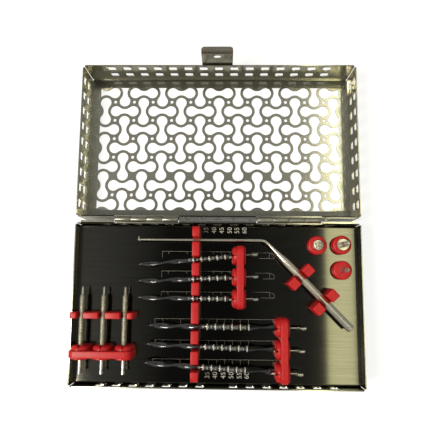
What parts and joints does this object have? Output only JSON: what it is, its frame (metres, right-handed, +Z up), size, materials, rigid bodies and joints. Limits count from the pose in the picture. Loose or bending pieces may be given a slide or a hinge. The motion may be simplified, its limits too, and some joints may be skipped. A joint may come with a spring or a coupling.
{
  "type": "implant drill kit",
  "caption": "Perforated steel cassette with a hinged lid laid open, holding drills, burs, a bent depth probe and drivers in silicone holders on a raised deck.",
  "frame": {"origin": "centre of the base tray's underside, on the surface that the open cassette lies on", "axes": "+X to the right along the hinge, +Y from the base towards the opened lid, +Z up"},
  "size_m": [0.182, 0.213, 0.0401],
  "materials": {
    "cassette_steel": "polished sheet",
    "deck_steel": "fine brushed",
    "red_silicone": "satin",
    "black_drill_steel": "black coated",
    "diamond_grit_steel": "rough",
    "instrument_steel": "satin"
  },
  "bodies": {
    "base": {"base_tray": "cassette_steel", "deck_plate": "deck_steel", "base_hinge_leaves": "cassette_steel", "hinge_pins": "cassette_steel", "latch_stud": "cassette_steel", "short_drill_holder": "red_silicone", "long_drill_holder": "red_silicone", "bur_holder": "red_silicone", "bur_rail": "red_silicone", "comb_rail": "red_silicone", "upper_handle_clip": "red_silicone", "lower_handle_clip": "red_silicone", "grommet_torque": "red_silicone", "grommet_hex": "red_silicone", "grommet_pin": "red_silicone"},
    "lid": {"lid_tray": "cassette_steel", "lid_hinge_leaves": "cassette_steel"},
    "short_drill_1_body": {"short_drill_1": "black_drill_steel"},
    "short_drill_2_body": {"short_drill_2": "black_drill_steel"},
    "short_drill_3_body": {"short_drill_3": "black_drill_steel"},
    "long_drill_1_body": {"long_drill_1": "black_drill_steel"},
    "long_drill_2_body": {"long_drill_2": "black_drill_steel"},
    "long_drill_3_body": {"long_drill_3": "black_drill_steel"},
    "diamond_bur_1_body": {"diamond_bur_1": "diamond_grit_steel"},
    "diamond_bur_2_body": {"diamond_bur_2": "diamond_grit_steel"},
    "diamond_bur_3_body": {"diamond_bur_3": "diamond_grit_steel"},
    "depth_probe_body": {"depth_probe": "instrument_steel"},
    "torque_driver_body": {"torque_driver": "instrument_steel"},
    "hex_driver_body": {"hex_driver": "instrument_steel"},
    "guide_pin_body": {"guide_pin": "instrument_steel"}
  },
  "joints": [
    {"name": "lid_hinge", "type": "hinge", "parent": "base", "child": "lid", "pos_m": [0, 0.05287, 0.02205], "axis": [1, 0, 0], "range_deg": [0, 180]},
    {"name": "short_drill_1_lift", "type": "slide", "parent": "base", "child": "short_drill_1_body", "axis": [0, 0, 1], "range_m": [0, 0.011]},
    {"name": "short_drill_2_lift", "type": "slide", "parent": "base", "child": "short_drill_2_body", "axis": [0, 0, 1], "range_m": [0, 0.011]},
    {"name": "short_drill_3_lift", "type": "slide", "parent": "base", "child": "short_drill_3_body", "axis": [0, 0, 1], "range_m": [0, 0.011]},
    {"name": "long_drill_1_lift", "type": "slide", "parent": "base", "child": "long_drill_1_body", "axis": [0, 0, 1], "range_m": [0, 0.011]},
    {"name": "long_drill_2_lift", "type": "slide", "parent": "base", "child": "long_drill_2_body", "axis": [0, 0, 1], "range_m": [0, 0.011]},
    {"name": "long_drill_3_lift", "type": "slide", "parent": "base", "child": "long_drill_3_body", "axis": [0, 0, 1], "range_m": [0, 0.011]},
    {"name": "diamond_bur_1_lift", "type": "slide", "parent": "base", "child": "diamond_bur_1_body", "axis": [0, 0, 1], "range_m": [0, 0.011]},
    {"name": "diamond_bur_2_lift", "type": "slide", "parent": "base", "child": "diamond_bur_2_body", "axis": [0, 0, 1], "range_m": [0, 0.011]},
    {"name": "diamond_bur_3_lift", "type": "slide", "parent": "base", "child": "diamond_bur_3_body", "axis": [0, 0, 1], "range_m": [0, 0.011]},
    {"name": "depth_probe_lift", "type": "slide", "parent": "base", "child": "depth_probe_body", "axis": [0, 0, 1], "range_m": [0, 0.011]},
    {"name": "torque_driver_lift", "type": "slide", "parent": "base", "child": "torque_driver_body", "axis": [0, 0, 1], "range_m": [0, 0.011]},
    {"name": "hex_driver_lift", "type": "slide", "parent": "base", "child": "hex_driver_body", "axis": [0, 0, 1], "range_m": [0, 0.011]},
    {"name": "guide_pin_lift", "type": "slide", "parent": "base", "child": "guide_pin_body", "axis": [0, 0, 1], "range_m": [0, 0.011]}
  ]
}
